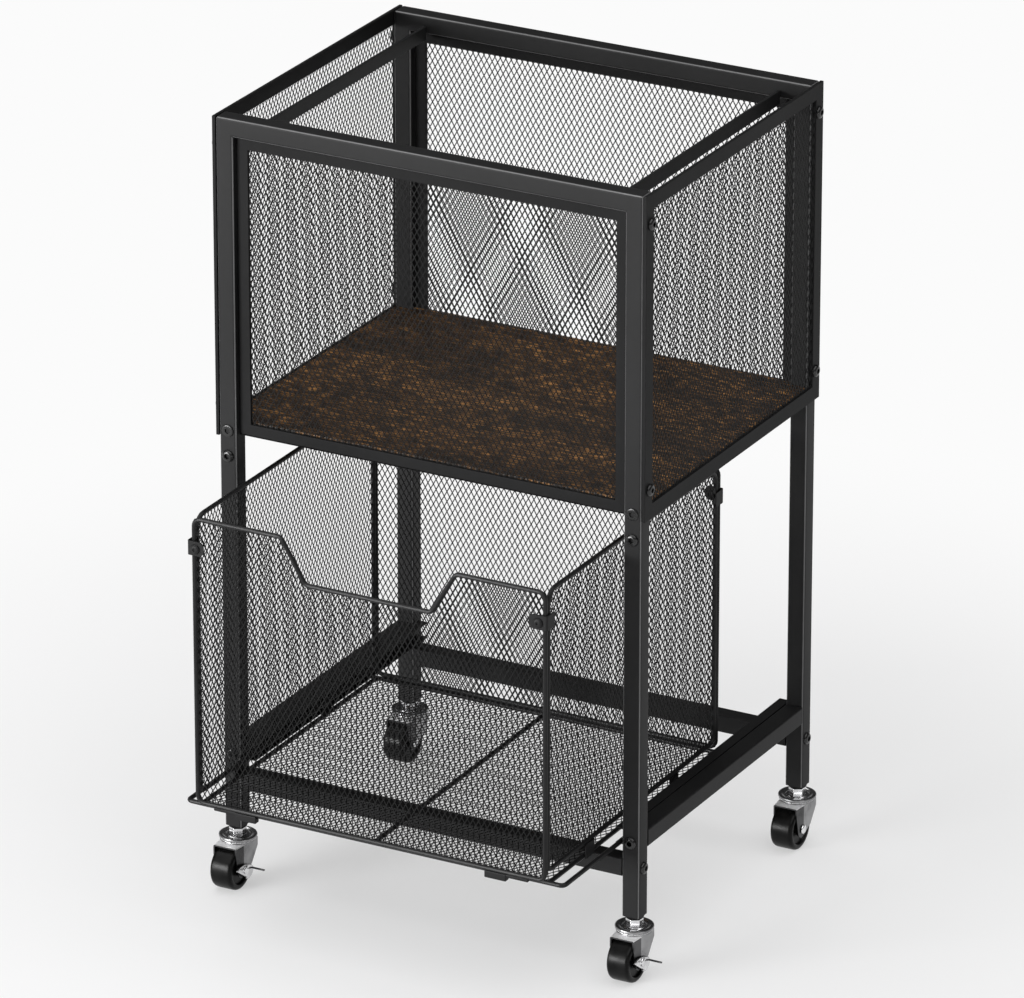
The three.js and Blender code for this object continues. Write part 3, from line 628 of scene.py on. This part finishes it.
# lower rails; the side rails carry folded channels that the drawer runs in
rail = {"inner": 180, "outer": 196, "y": 139.7, "low": 113, "high": 129, "edge": 1.7}
channel = {"mouth": 170, "back": 179.7, "reach": 148, "wall": 1.2, "low": 114.3, "fold": 0.4,
           "weldHalf": 120, "weldLap": 0.6, "weldInset": 4}
crossRail = {"half": 179.7, "low": 89.3, "high": 105.3}
for side, sideSign in sides:
    bm = bmesh.new()
    low, high, wall = rail["low"], rail["high"], channel["wall"]
    block(bm, (rail["inner"], rail["outer"]), (-rail["y"], rail["y"]), (low, high), rail["edge"],
          axis=1, steps=3)
    mouth, back, y, under = channel["mouth"], channel["back"], -channel["reach"], channel["low"]
    corners = [(mouth, y, under), (back, y, under), (back, y, high), (mouth, y, high),
               (mouth, y, high - wall), (back - wall, y, high - wall),
               (back - wall, y, under + wall), (mouth, y, under + wall)]
    verts = plate(bm, corners, (0, 2 * channel["reach"], 0))
    roundOff(bm, along(edgesOf(verts), 1), channel["fold"])
    lap, inset = channel["weldLap"], channel["weldInset"]
    block(bm, (back - lap, rail["inner"] + lap), (-channel["weldHalf"], channel["weldHalf"]),
          (low + inset, high - inset))
    makePiece(bm, f"{side}SideRail", "frame", [coat], [f"{side}_side_rail"],
              (sideSign, 1, 1))
for end, endSign in ends:
    bm = bmesh.new()
    y = endSign * leg["y"]
    block(bm, (-crossRail["half"], crossRail["half"]), (y - leg["half"], y + leg["half"]),
          (crossRail["low"], crossRail["high"]), rail["edge"], axis=0, steps=3)
    makePiece(bm, f"{end}CrossRail", "frame", [coat], [f"{end}_cross_rail"])
print("shelf and rails done")

# drawer of bent wire and mesh; all heights and places are where the pulled-out drawer stands
drawer = {"gauge": 4, "frontY": -255.5, "backY": 45, "half": 162.4, "low": 122.1, "frontHigh": 374.8,
          "sideNear": -251.2, "sideFar": 40.7, "sideLow": 129.1, "sideHigh": 374.6,
          "corner": 6.5, "sideCorner": 11,
          "notchTop": 81, "notchFloor": 58, "notchLow": 336.8, "notchBend": 6,
          "floorZ": 117.8, "lipX": 176, "lipCorner": 4, "lipFront": -249}
wallHook = {"y": (-184, -36), "half": 7.5, "inner": 164.7, "outer": 165.9, "foot": 116.1, "leaf": 1,
            "edge": 0.3}
gauge, low, half = drawer["gauge"], drawer["low"], drawer["half"]


def drawerEnd(name, node, y, notched):
    bm = bmesh.new()
    high, bend = drawer["frontHigh"], drawer["notchBend"]
    path = [(half, y, low), (half, y, high), (-half, y, high), (-half, y, low)]
    bends = [drawer["corner"]] * 4
    notch = None
    if notched:
        topHalf, floorHalf, floor = drawer["notchTop"], drawer["notchFloor"], drawer["notchLow"]
        path[2:2] = [(topHalf, y, high), (floorHalf, y, floor), (-floorHalf, y, floor), (-topHalf, y, high)]
        bends[2:2] = [bend] * 4
        notch = (topHalf, floorHalf, high, floor)
    bendWire(bm, path, bends, gauge)
    addSheet(bm, diamondSheet((-half, low), (half, high), notch=notch), standUp, (0, y, 0))
    makePiece(bm, name, "drawer", [wireCoat, strandCoat], [node])


drawerEnd("drawerFrontPanel", "drawer_front", drawer["frontY"], True)
drawerEnd("drawerBackPanel", "drawer_back", drawer["backY"], False)

for side, sideSign in sides:
    bm = bmesh.new()
    near, far, base, high = drawer["sideNear"], drawer["sideFar"], drawer["sideLow"], drawer["sideHigh"]
    bottom, top = drawer["corner"], drawer["sideCorner"]
    path = [(half, near, base), (half, far, base), (half, far, high), (half, near, high)]
    bendWire(bm, path, [bottom, bottom, top, top], gauge)
    for y in wallHook["y"]:
        run = (y - wallHook["half"], y + wallHook["half"])
        block(bm, (wallHook["inner"], wallHook["outer"]), run, (wallHook["foot"], base), wallHook["edge"])
        block(bm, (half, wallHook["outer"]), run, (base - wallHook["leaf"], base), wallHook["edge"])
    chop = top * (1 - math.sqrt(0.5))  # keeps the mesh inside the upper bends
    trims = [((near + chop, high - chop, 0), (-1, 1, 0)), ((far - chop, high - chop, 0), (1, 1, 0))]
    addSheet(bm, diamondSheet((near, base), (far, high), trims), standSide, (half, 0, 0))
    makePiece(bm, f"drawer{side.capitalize()}Panel", "drawer", [wireCoat, strandCoat],
              [f"drawer_{side}_side"], (sideSign, 1, 1))

bm = bmesh.new()
x, z, near, far = drawer["lipX"], drawer["floorZ"], drawer["lipFront"], drawer["backY"]
bendWire(bm, [(x, near, z), (x, far, z), (-x, far, z), (-x, near, z)], [drawer["lipCorner"]] * 4, gauge)
for run in (-half, 0, half):
    bendWire(bm, [(run, near, z), (run, far, z)], [], gauge, closed=False)
addSheet(bm, diamondSheet((-half, near), (half, far)), Matrix(), (0, 0, z))
makePiece(bm, "drawerFloor", "drawer", [wireCoat, strandCoat], ["drawer_floor"])
print("drawer panels done")

# corner straps with a screw, and the small clips that hold the floor to the front
strap = {"outer": {"left": 167.2, "right": 165.9}, "frontLeaf": {"left": 15.2, "right": 17}, "sideLeaf": 13,
         "face": -259, "thick": 1.2, "low": 343.55, "high": 356.05, "nose": 4.6, "bend": 1.8,
         "screwX": {"left": 159.7, "right": 157.6}, "screwZ": 349.4, "screwLift": 0.05, "rear": 48.5}
for end, endSign in ends:
    for side, sideSign in sides:
        bm = bmesh.new()
        face, outer, thick, base = strap["face"], strap["outer"][side], strap["thick"], strap["low"]
        inner = outer - strap["frontLeaf"][side]
        tail = face + strap["sideLeaf"]
        corners = [(inner, face, base), (outer, face, base), (outer, tail, base), (outer - thick, tail, base),
                   (outer - thick, face + thick, base), (inner, face + thick, base)]
        verts = plate(bm, corners, (0, 0, strap["high"] - base))
        noses = [edge for edge in along(edgesOf(verts), 1) if edge.verts[0].co.x < inner + close]
        roundOff(bm, noses, strap["nose"], steps=5)
        fold = [edge for edge in along(bm.edges, 2)
                if edge.verts[0].co.x > outer - close and edge.verts[0].co.y < face + close]
        roundOff(bm, fold, strap["bend"], steps=4)
        screw = (strap["screwX"][side], face - strap["screwLift"], strap["screwZ"])
        socketHead(bm, screw, (0, -1, 0), smallHead)
        if endSign > 0:
            bmesh.ops.scale(bm, vec=(1, -1, 1), verts=bm.verts)
            bmesh.ops.translate(bm, vec=(0, strap["rear"] + face, 0), verts=bm.verts)
        makePiece(bm, f"{end}_{side}_cornerStrap", "drawer", [coat],
                  [f"{end}_{side}_corner_clip"], (sideSign, 1, 1))

floorClip = {"near": 107, "top": 120.3, "blocks": [
    {"far": 127, "y": (-257.2, -251), "low": 113.9, "edge": 0.9},
    {"far": 147, "y": (-256.6, -250), "low": 117.5, "edge": 0.7}]}
bm = bmesh.new()
for _, sideSign in sides:
    for part in floorClip["blocks"]:
        xs = sorted((sideSign * floorClip["near"], sideSign * part["far"]))
        block(bm, xs, part["y"], (part["low"], floorClip["top"]), part["edge"])
makePiece(bm, "floorClips", "drawer", [coat])
print("straps and clips done")

# swivel casters, drawn round the stem and moved under each leg
race = {"rim": 15.5, "profile": [
    (3.6, 42.65), (15.7, 42.65), (16.2, 42.9), (16.3, 43.4), (16.3, 44.3), (16, 44.8), (15.3, 45.1),
    (14.2, 45.2), (13, 45), (12.1, 44.4), (11, 44.2), (10.2, 44.5), (9.4, 45.1), (8.6, 45.2), (3.6, 45.2)]}
nut = {"radius": 7.5, "low": 45.2, "high": 51.4, "edge": 0.6}
stem = {"radius": 4, "low": 38, "high": 66}


# a round or six-sided bar from one end to the other
def bar(bm, start, stop, radius, segments):
    run = Vector(stop) - Vector(start)
    seat = Matrix.Translation((Vector(start) + Vector(stop)) / 2) @ layAlong(run)
    return bmesh.ops.create_cone(bm, cap_ends=True, segments=segments, radius1=radius, radius2=radius,
                                 depth=run.length, matrix=seat)["verts"]


def casterStem(label, place):
    bm = bmesh.new()
    turned(bm, race["profile"], (0, 0, 0), upright, steps=36)
    flats = bar(bm, (0, 0, nut["low"]), (0, 0, nut["high"]), nut["radius"], segments=6)
    roundOff(bm, edgesOf(flats), nut["edge"])
    bar(bm, (0, 0, stem["low"]), (0, 0, stem["high"]), stem["radius"], segments=16)
    # painted shade: the race's rim, outside its top, takes the grey copy of the plating
    for vert in bm.verts:
        if vert.co.xy.length > race["rim"]:
            for face in vert.link_faces:
                face.material_index = 1
    bmesh.ops.translate(bm, vec=place, verts=bm.verts)
    makePiece(bm, f"{label}Stem", "frame", [chrome, forkCheekShade], [f"{label}_stem"])


# half of the wheel's section, from the bore to the middle of the tread
wheel = {"y": -12.5, "z": 19, "halfSection": [
    (2.8, -9.5), (5.6, -9.5), (6.2, -9.1), (6.4, -8.2), (13.2, -8), (13.8, -8.7), (14.2, -9.8), (14.9, -10.2),
    (16.2, -10.2), (17.4, -9.9), (18.3, -9.2), (18.8, -8.1), (19, -6.7), (19, 0)]}
hubY, hubZ = wheel["y"], wheel["z"]


def casterWheel(label, place):
    bm = bmesh.new()
    half = wheel["halfSection"]
    section = half + [(radius, -height) for radius, height in reversed(half[:-1])] + half[:1]
    turned(bm, section, (0, hubY, hubZ), (1, 0, 0), steps=48)
    bmesh.ops.translate(bm, vec=place, verts=bm.verts)
    makePiece(bm, f"{label}Wheel", f"{label}_roller", [wheelNylon], [f"{label}_wheel"])


# folded fork: a roof with two skirts, cut to a slope at the front and rear and to a blunt boss at the axle
fork = {"top": 40.5, "half": 12.3, "rear": 11.5, "shoulder": -11, "front": -22.5, "taper": 1.3, "skirt": 34,
        "hip": 32.5, "frontCut": (0, -13.5, -2.5), "rearCut": (0, 13.5, -10),
        "heel": 1.5, "heelCut": (0, 1, -2.2), "boss": 7.5, "bossCuts": (200, 235, 270, 298),
        "thick": 1.2, "bend": 1.3,
        "raceway": [(4.3, 40.3), (15.5, 40.3), (15.5, 41.8), (15.3, 42.1), (14.2, 42.15), (4.3, 42.15)]}
balls = {"count": 22, "ring": 14.9, "z": 42.3, "radius": 0.75}


def casterFork(label, place):
    bm = bmesh.new()
    half, top = fork["half"], fork["top"]
    narrow = half - fork["taper"]
    plan = [(-half, fork["rear"]), (-half, fork["shoulder"]), (-narrow, fork["front"]),
            (narrow, fork["front"]), (half, fork["shoulder"]), (half, fork["rear"])]
    roof = bm.faces.new([bm.verts.new((x, y, top)) for x, y in plan])
    skirts = [edge for edge in roof.edges if abs(edge.verts[0].co.x - edge.verts[1].co.x) < half]
    runOn(bm, skirts, (0, 0, -fork["skirt"]))
    cuts = [((0, fork["front"], fork["hip"]), fork["frontCut"]),
            ((0, fork["rear"], fork["hip"]), fork["rearCut"]), ((0, fork["heel"], hubZ), fork["heelCut"])]
    for angle in fork["bossCuts"]:
        out = Vector((0, math.cos(math.radians(angle)), math.sin(math.radians(angle))))
        cuts.append((Vector((0, hubY, hubZ)) + out * fork["boss"], out))
    for point, normal in cuts:
        trim(bm, point, normal)
    roundOff(bm, creases(bm.edges, least=0.05), fork["bend"], steps=3)
    bmesh.ops.recalc_face_normals(bm, faces=bm.faces[:])
    if roof.is_valid and roof.normal.z < 0:
        bmesh.ops.reverse_faces(bm, faces=bm.faces[:])
    bmesh.ops.solidify(bm, geom=bm.faces[:], thickness=fork["thick"])
    turned(bm, fork["raceway"], (0, 0, 0), upright, steps=28)
    for index in range(balls["count"]):
        spin = Matrix.Rotation(2 * math.pi * index / balls["count"], 4, "Z")
        bmesh.ops.create_uvsphere(bm, u_segments=8, v_segments=6, radius=balls["radius"],
                                  matrix=spin @ Matrix.Translation((balls["ring"], 0, balls["z"])))
    bm.normal_update()
    # painted highlight and shade by facing: roof and other faces pale, raceway and ball sides and the cheeks
    # grey, the front and its tapered facets dark
    for face in bm.faces:
        spot = face.calc_center_median()
        sideways = abs(face.normal.x) > 0.9
        if spot.z > top + close and abs(face.normal.z) < 0.5:
            face.material_index = 1
        elif spot.y < fork["shoulder"] and (face.normal.y < -0.5 or sideways):
            face.material_index = 2
        elif sideways:
            face.material_index = 1
    bmesh.ops.translate(bm, vec=place, verts=bm.verts)
    makePiece(bm, f"{label}Fork", f"{label}_swivel", [forkRoofHighlight, forkCheekShade, forkFrontShade],
              [f"{label}_fork"])


# brake lever outside the right cheek: its nose leans outwards and a tab at its tail takes the foot
lever = {"inner": 12.6, "thick": 2, "edge": 0.5, "lean": 0.45, "leanFrom": 5.2, "noseAt": -3, "tailAt": 1,
         "tab": (13.4, 26.8), "tabY": (9.2, 11), "tabDrop": 1.4, "tabThick": 1.3, "outline": [
             (-14.8, 4), (-12, 1.4), (-8, -1.8), (-4, -4.8), (-0.5, -7.6), (2.2, -9.6), (5.4, -10), (8.8, -9),
             (11.4, -7), (13, -4), (12.4, -1.6), (10, 0.8), (6, 2.6), (1, 4.4), (-4, 5.2), (-9, 5.2),
             (-12.4, 4.8)]}
leverFace = lever["inner"] + lever["thick"]
rivet = {"profile": [(0, 1.5), (1.6, 1.45), (3, 1.15), (3.8, 0.6), (4, 0), (2.4, 0)], "pin": 2.4,
         "proud": 0.3}


def casterAxle(label, place, braked):
    bm = bmesh.new()
    left = -fork["half"] - rivet["proud"]
    right = (leverFace if braked else fork["half"]) + rivet["proud"]
    for end, facing in ((left, -1), (right, 1)):
        turned(bm, rivet["profile"], (end, hubY, hubZ), (facing, 0, 0), steps=20)
    bar(bm, (left, hubY, hubZ), (right, hubY, hubZ), rivet["pin"], segments=16)
    bmesh.ops.translate(bm, vec=place, verts=bm.verts)
    makePiece(bm, f"{label}Axle", f"{label}_swivel", [chrome], [f"{label}_axle"])


def brakeLever(label, place):
    bm = bmesh.new()
    corners = [(lever["inner"], hubY + y, hubZ + z) for y, z in lever["outline"]]
    verts = plate(bm, corners, (lever["thick"], 0, 0))
    for vert in verts:
        if vert.co.y < hubY + lever["noseAt"]:
            vert.co.x += (hubZ + lever["leanFrom"] - vert.co.z) * lever["lean"]
    roundOff(bm, creases(edgesOf(verts)), lever["edge"])
    nearY, farY = lever["tabY"]
    tabZ = hubZ - lever["tabDrop"]
    block(bm, lever["tab"], (hubY + nearY, hubY + farY), (tabZ - lever["tabThick"], tabZ), lever["edge"])
    # painted shade: the lever's tail and tab take the dark copy on their outer face and the grey copy
    # elsewhere
    for face in bm.faces:
        spot = face.calc_center_median()
        if spot.y > hubY + lever["tailAt"]:
            face.material_index = 1 if spot.x > leverFace + close else 2
    bmesh.ops.translate(bm, vec=place, verts=bm.verts)
    makePiece(bm, f"{label}BrakeLever", f"{label}_brake", [chrome, forkFrontShade, forkCheekShade],
              [f"{label}_brake_lever"])


for end, endSign in ends:
    for side, sideSign in sides:
        label = f"{end}_{side}_caster"
        place = (sideSign * leg["x"], endSign * leg["y"], 0)
        casterStem(label, place)
        casterFork(label, place)
        casterWheel(label, place)
        braked = end == "front"
        casterAxle(label, place, braked)
        if braked:
            brakeLever(label, place)
print("casters done")

# plain pale floor: lit and shaded near the cart, plain white further out
floorLook = {"size": 9, "tone": (0.82, 0.82, 0.825, 1), "speck": (0.78, 0.78, 0.785, 1),
             "white": (0.965, 0.965, 0.965, 1), "near": 0.36, "far": 1.0, "least": 0.5,
             "cloud": 3, "speckShare": 0.3, "roughness": 0.75, "specular": 0.1}
bm = bmesh.new()
bmesh.ops.create_grid(bm, x_segments=2, y_segments=2, size=floorLook["size"])
mesh = bpy.data.meshes.new("floor")
bm.to_mesh(mesh)
bm.free()
floorPaint = Finish("paleFloor")
cloud = floorPaint.noise(floorLook["cloud"]) * floorLook["speckShare"]
floorPaint.set({"Base Color": floorPaint.blend(cloud, floorLook["tone"], floorLook["speck"]),
                "Roughness": floorLook["roughness"], "Specular IOR Level": floorLook["specular"]})
reach = floorPaint.node("ShaderNodeVectorMath", {"operation": "LENGTH"}, {0: floorPaint.place}, "Value")
outside = floorPaint.node("ShaderNodeMapRange", {"interpolation_type": "SMOOTHSTEP"},
                          {"Value": reach, "From Min": floorLook["near"], "From Max": floorLook["far"],
                           "To Min": floorLook["least"]})
seen = [floorPaint.node("ShaderNodeLightPath", {}, {}, ray)
        for ray in ("Is Camera Ray", "Is Glossy Ray", "Is Transmission Ray")]
glow = floorPaint.node("ShaderNodeEmission", {}, {"Color": floorLook["white"]})
shade = Signal(floorPaint, floorPaint.shader.outputs[0])
mixed = floorPaint.node("ShaderNodeMixShader", {},
                        {0: (seen[0] + seen[1] + seen[2]) * outside, 1: shade, 2: glow})
floorPaint.feed(floorPaint.tree.nodes["Material Output"].inputs[0], mixed)
mesh.materials.append(floorPaint.material)
floor = bpy.data.objects.new("floor", mesh)
scene.collection.objects.link(floor)

# soft boxes: a broad one overhead, a low wide one at the front left and a small one at the right
softBoxes = {
    "overhead": {"at": (0.3, -1.3, 3.4), "aim": (0.3, -1.3, 0), "size": (6, 6), "power": 215},
    "frontLeft": {"at": (-2.2, -3.8, 0.75), "aim": (0, -0.1, 0.5), "size": (2.2, 1.0), "power": 220},
    "frontRight": {"at": (2.1, -1.2, 0.35), "aim": (0, 0, 0.3), "size": (0.6, 0.5), "power": 3},
}
for name, box in softBoxes.items():
    lamp = bpy.data.lights.new(name, "AREA")
    lamp.shape = "RECTANGLE"
    lamp.size, lamp.size_y = box["size"]
    lamp.energy = box["power"]
    holder = bpy.data.objects.new(name, lamp)
    holder.location = box["at"]
    holder.rotation_euler = (Vector(box["aim"]) - Vector(box["at"])).to_track_quat("-Z", "Y").to_euler()
    scene.collection.objects.link(holder)

# the studio round it: bright along the horizon, dim overhead
studio = {"horizon": (0.95, 0.95, 0.95, 1), "horizonTo": 0.12, "above": (0.1, 0.1, 0.102, 1),
          "aboveFrom": 0.3, "strength": 0.25}
world = bpy.data.worlds.new("studio")
scene.world = world
world.use_nodes = True
tree = world.node_tree
sky = tree.nodes.new("ShaderNodeTexCoord")
split = tree.nodes.new("ShaderNodeSeparateXYZ")
ramp = tree.nodes.new("ShaderNodeValToRGB")
ramp.color_ramp.elements[0].position = studio["horizonTo"]
ramp.color_ramp.elements[0].color = studio["horizon"]
ramp.color_ramp.elements[1].position = studio["aboveFrom"]
ramp.color_ramp.elements[1].color = studio["above"]
tree.links.new(sky.outputs["Generated"], split.inputs[0])
tree.links.new(split.outputs["Z"], ramp.inputs[0])
tree.links.new(ramp.outputs[0], tree.nodes["Background"].inputs[0])
tree.nodes["Background"].inputs[1].default_value = studio["strength"]

# camera at the viewing angle of the photograph
view = {"at": (3.1678, -5.8417, 3.0783), "azimuth": 28.535, "elevation": 22.382, "lens": 304.24,
        "shift": (0.00182, -0.01145), "sensor": 36, "clip": 60}
lens = bpy.data.cameras.new("camera")
lens.lens = view["lens"]
lens.sensor_width = view["sensor"]
lens.sensor_fit = "HORIZONTAL"
lens.shift_x, lens.shift_y = view["shift"]
lens.clip_end = view["clip"]
camera = bpy.data.objects.new("camera", lens)
camera.location = view["at"]
camera.rotation_euler = (math.radians(90 - view["elevation"]), 0, math.radians(view["azimuth"]))
scene.collection.objects.link(camera)
scene.camera = camera
print("light and camera set")
